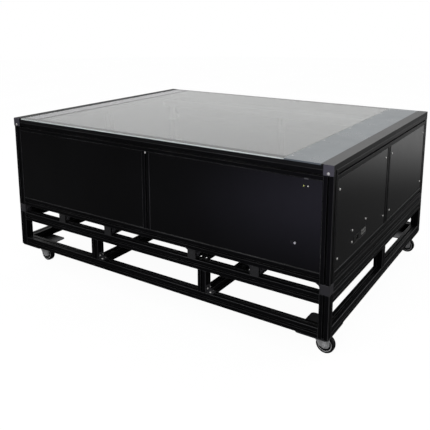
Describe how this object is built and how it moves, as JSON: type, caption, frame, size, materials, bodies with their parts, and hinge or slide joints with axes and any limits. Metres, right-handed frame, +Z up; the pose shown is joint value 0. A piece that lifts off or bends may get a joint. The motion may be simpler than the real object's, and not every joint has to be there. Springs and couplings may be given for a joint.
{
  "type": "flatbed scanner",
  "caption": "Large-format flatbed scanner: glass-topped cabinet of slotted black profile with metal panels on a rolling open stand, with a belt-driven scan carriage inside.",
  "frame": {"origin": "on the floor under the middle of the scanner", "axes": "+X to the right as one faces the front, +Y to the back, +Z up"},
  "size_m": [1.6914, 1.3214, 0.7658],
  "materials": {
    "black_profile": "black anodised, satin",
    "cast_bracket": "black powder coat on a casting",
    "corner_cube": "dark grey powder coat on a casting",
    "end_cap": "dark grey moulded plastic",
    "top_strip": "dark bronze-grey anodised",
    "float_glass": "polished float glass with ground edges",
    "cover_metal": "blue-grey satin coat",
    "screw_steel": "zinc plated",
    "ruler_grey": "grey laminated scale strip",
    "corner_plate": "dark grey satin plate",
    "panel_black": "black satin powder coat",
    "tab_zinc": "bright zinc plated sheet",
    "pan_grey": "dark grey coated sheet",
    "lens": "translucent indicator lens",
    "button_metal": "polished metal",
    "escutcheon": "black gloss moulding",
    "connector_black": "black moulded plastic",
    "connector_sheet": "black coated sheet",
    "port_metal": "nickel plated shell",
    "rail_steel": "ground steel",
    "beam_alu": "clear anodised",
    "carriage_black": "matt black coat",
    "bearing_steel": "ground steel",
    "lamp_diffuser": "opal diffuser",
    "camera_body": "black anodised camera body",
    "pulley_alu": "turned aluminium",
    "belt_rubber": "toothed rubber belt",
    "hanger_alu": "milled aluminium",
    "motor_coat": "black laminations",
    "board_green": "solder resist",
    "supply_case": "bare sheet aluminium",
    "fan_black": "black moulded plastic",
    "caster_sheet": "dark plated pressed steel",
    "caster_zinc": "bright zinc plated pressed steel",
    "caster_tread": "grey hub with a black tread"
  },
  "bodies": {
    "cabinet": {"stand_corner_posts": "black_profile", "stand_short_posts": "black_profile", "stand_bottom_rails": "black_profile", "stand_top_rails": "black_profile", "corner_cubes": "corner_cube", "cabinet_beams": "black_profile", "beam_end_caps": "end_cap", "gusset_brackets": "cast_bracket", "cabinet_corner_posts": "black_profile", "cabinet_middle_posts": "black_profile", "cabinet_bottom_rails": "black_profile", "cabinet_top_rails": "black_profile", "top_frame": "top_strip", "glass_plate": "float_glass", "cover_plate": "cover_metal", "cover_screws": "screw_steel", "origin_ruler": "ruler_grey", "corner_brackets": "corner_plate", "front_panel_left": "panel_black", "front_panel_right": "panel_black", "side_panels": "panel_black", "connector_side_panel": "panel_black", "back_panel_plain": "panel_black", "back_panel_vented": "panel_black", "button_head_screws": "screw_steel", "panel_tabs": "tab_zinc", "floor_pan": "pan_grey", "indicator_lenses": "lens", "button_escutcheon": "escutcheon", "connector_plate": "connector_sheet", "power_inlet": "connector_black", "data_ports": "port_metal", "guide_beams": "beam_alu", "guide_rails": "rail_steel", "drive_belts": "belt_rubber", "shaft_hangers": "hanger_alu", "drive_motor": "motor_coat", "controller_board": "board_green", "power_supply": "supply_case", "fan_housing": "fan_black", "caster_plates": "caster_sheet"},
    "carriage": {"carriage_chassis": "carriage_black", "bearing_blocks": "bearing_steel", "lamp_bars": "lamp_diffuser", "camera_modules": "camera_body"},
    "drive_shaft": {"drive_shaft": "rail_steel", "drive_pulleys": "pulley_alu"},
    "idler_front": {"idler_pulley_front": "pulley_alu"},
    "idler_back": {"idler_pulley_back": "pulley_alu"},
    "fan_rotor": {"fan_rotor": "fan_black"},
    "start_button": {"start_button": "button_metal"},
    "mains_rocker": {"mains_rocker": "connector_black"},
    "fork_front_left": {"caster_fork_front_left": "caster_zinc"},
    "wheel_front_left": {"caster_wheel_front_left": "caster_tread"},
    "fork_front_right": {"caster_fork_front_right": "caster_zinc"},
    "wheel_front_right": {"caster_wheel_front_right": "caster_tread"},
    "fork_back_left": {"caster_fork_back_left": "caster_zinc"},
    "wheel_back_left": {"caster_wheel_back_left": "caster_tread"},
    "fork_back_right": {"caster_fork_back_right": "caster_zinc"},
    "wheel_back_right": {"caster_wheel_back_right": "caster_tread"}
  },
  "joints": [
    {"name": "carriage_slide", "type": "slide", "parent": "cabinet", "child": "carriage", "axis": [1, 0, 0], "range_m": [-1.4, 0]},
    {"name": "drive_spin", "type": "hinge", "parent": "cabinet", "child": "drive_shaft", "pos_m": [0.77, 0, 0.59], "axis": [0, 1, 0], "continuous": true},
    {"name": "idler_front_spin", "type": "hinge", "parent": "cabinet", "child": "idler_front", "pos_m": [-0.77, -0.59, 0.59], "axis": [0, 1, 0], "continuous": true},
    {"name": "idler_back_spin", "type": "hinge", "parent": "cabinet", "child": "idler_back", "pos_m": [-0.77, 0.59, 0.59], "axis": [0, 1, 0], "continuous": true},
    {"name": "fan_spin", "type": "hinge", "parent": "cabinet", "child": "fan_rotor", "pos_m": [0.4, 0.625, 0.45], "axis": [0, 1, 0], "continuous": true},
    {"name": "start_button_press", "type": "slide", "parent": "cabinet", "child": "start_button", "axis": [0, 1, 0], "range_m": [0, 0.002], "stiffness_N_per_m": 400},
    {"name": "mains_rocker_tip", "type": "hinge", "parent": "cabinet", "child": "mains_rocker", "pos_m": [0.841, -0.404, 0.41], "axis": [0, 1, 0], "range_deg": [-12, 0]},
    {"name": "swivel_front_left", "type": "hinge", "parent": "cabinet", "child": "fork_front_left", "pos_m": [-0.7775, -0.57, 0.096], "axis": [0, 0, 1], "continuous": true},
    {"name": "roll_front_left", "type": "hinge", "parent": "fork_front_left", "child": "wheel_front_left", "pos_m": [-0.7495, -0.57, 0.0375], "axis": [0, 1, 0], "continuous": true},
    {"name": "swivel_front_right", "type": "hinge", "parent": "cabinet", "child": "fork_front_right", "pos_m": [0.7775, -0.57, 0.096], "axis": [0, 0, 1], "continuous": true},
    {"name": "roll_front_right", "type": "hinge", "parent": "fork_front_right", "child": "wheel_front_right", "pos_m": [0.8055, -0.57, 0.0375], "axis": [0, 1, 0], "continuous": true},
    {"name": "swivel_back_left", "type": "hinge", "parent": "cabinet", "child": "fork_back_left", "pos_m": [-0.7775, 0.57, 0.096], "axis": [0, 0, 1], "continuous": true},
    {"name": "roll_back_left", "type": "hinge", "parent": "fork_back_left", "child": "wheel_back_left", "pos_m": [-0.7495, 0.57, 0.0375], "axis": [0, 1, 0], "continuous": true},
    {"name": "swivel_back_right", "type": "hinge", "parent": "cabinet", "child": "fork_back_right", "pos_m": [0.7775, 0.57, 0.096], "axis": [0, 0, 1], "continuous": true},
    {"name": "roll_back_right", "type": "hinge", "parent": "fork_back_right", "child": "wheel_back_right", "pos_m": [0.8055, 0.57, 0.0375], "axis": [0, 1, 0], "continuous": true}
  ],
  "couplings": [
    {"joint": "drive_spin", "follows": "carriage_slide", "rad_per_m": 57.471},
    {"joint": "idler_front_spin", "follows": "carriage_slide", "rad_per_m": 57.471},
    {"joint": "idler_back_spin", "follows": "carriage_slide", "rad_per_m": 57.471}
  ]
}
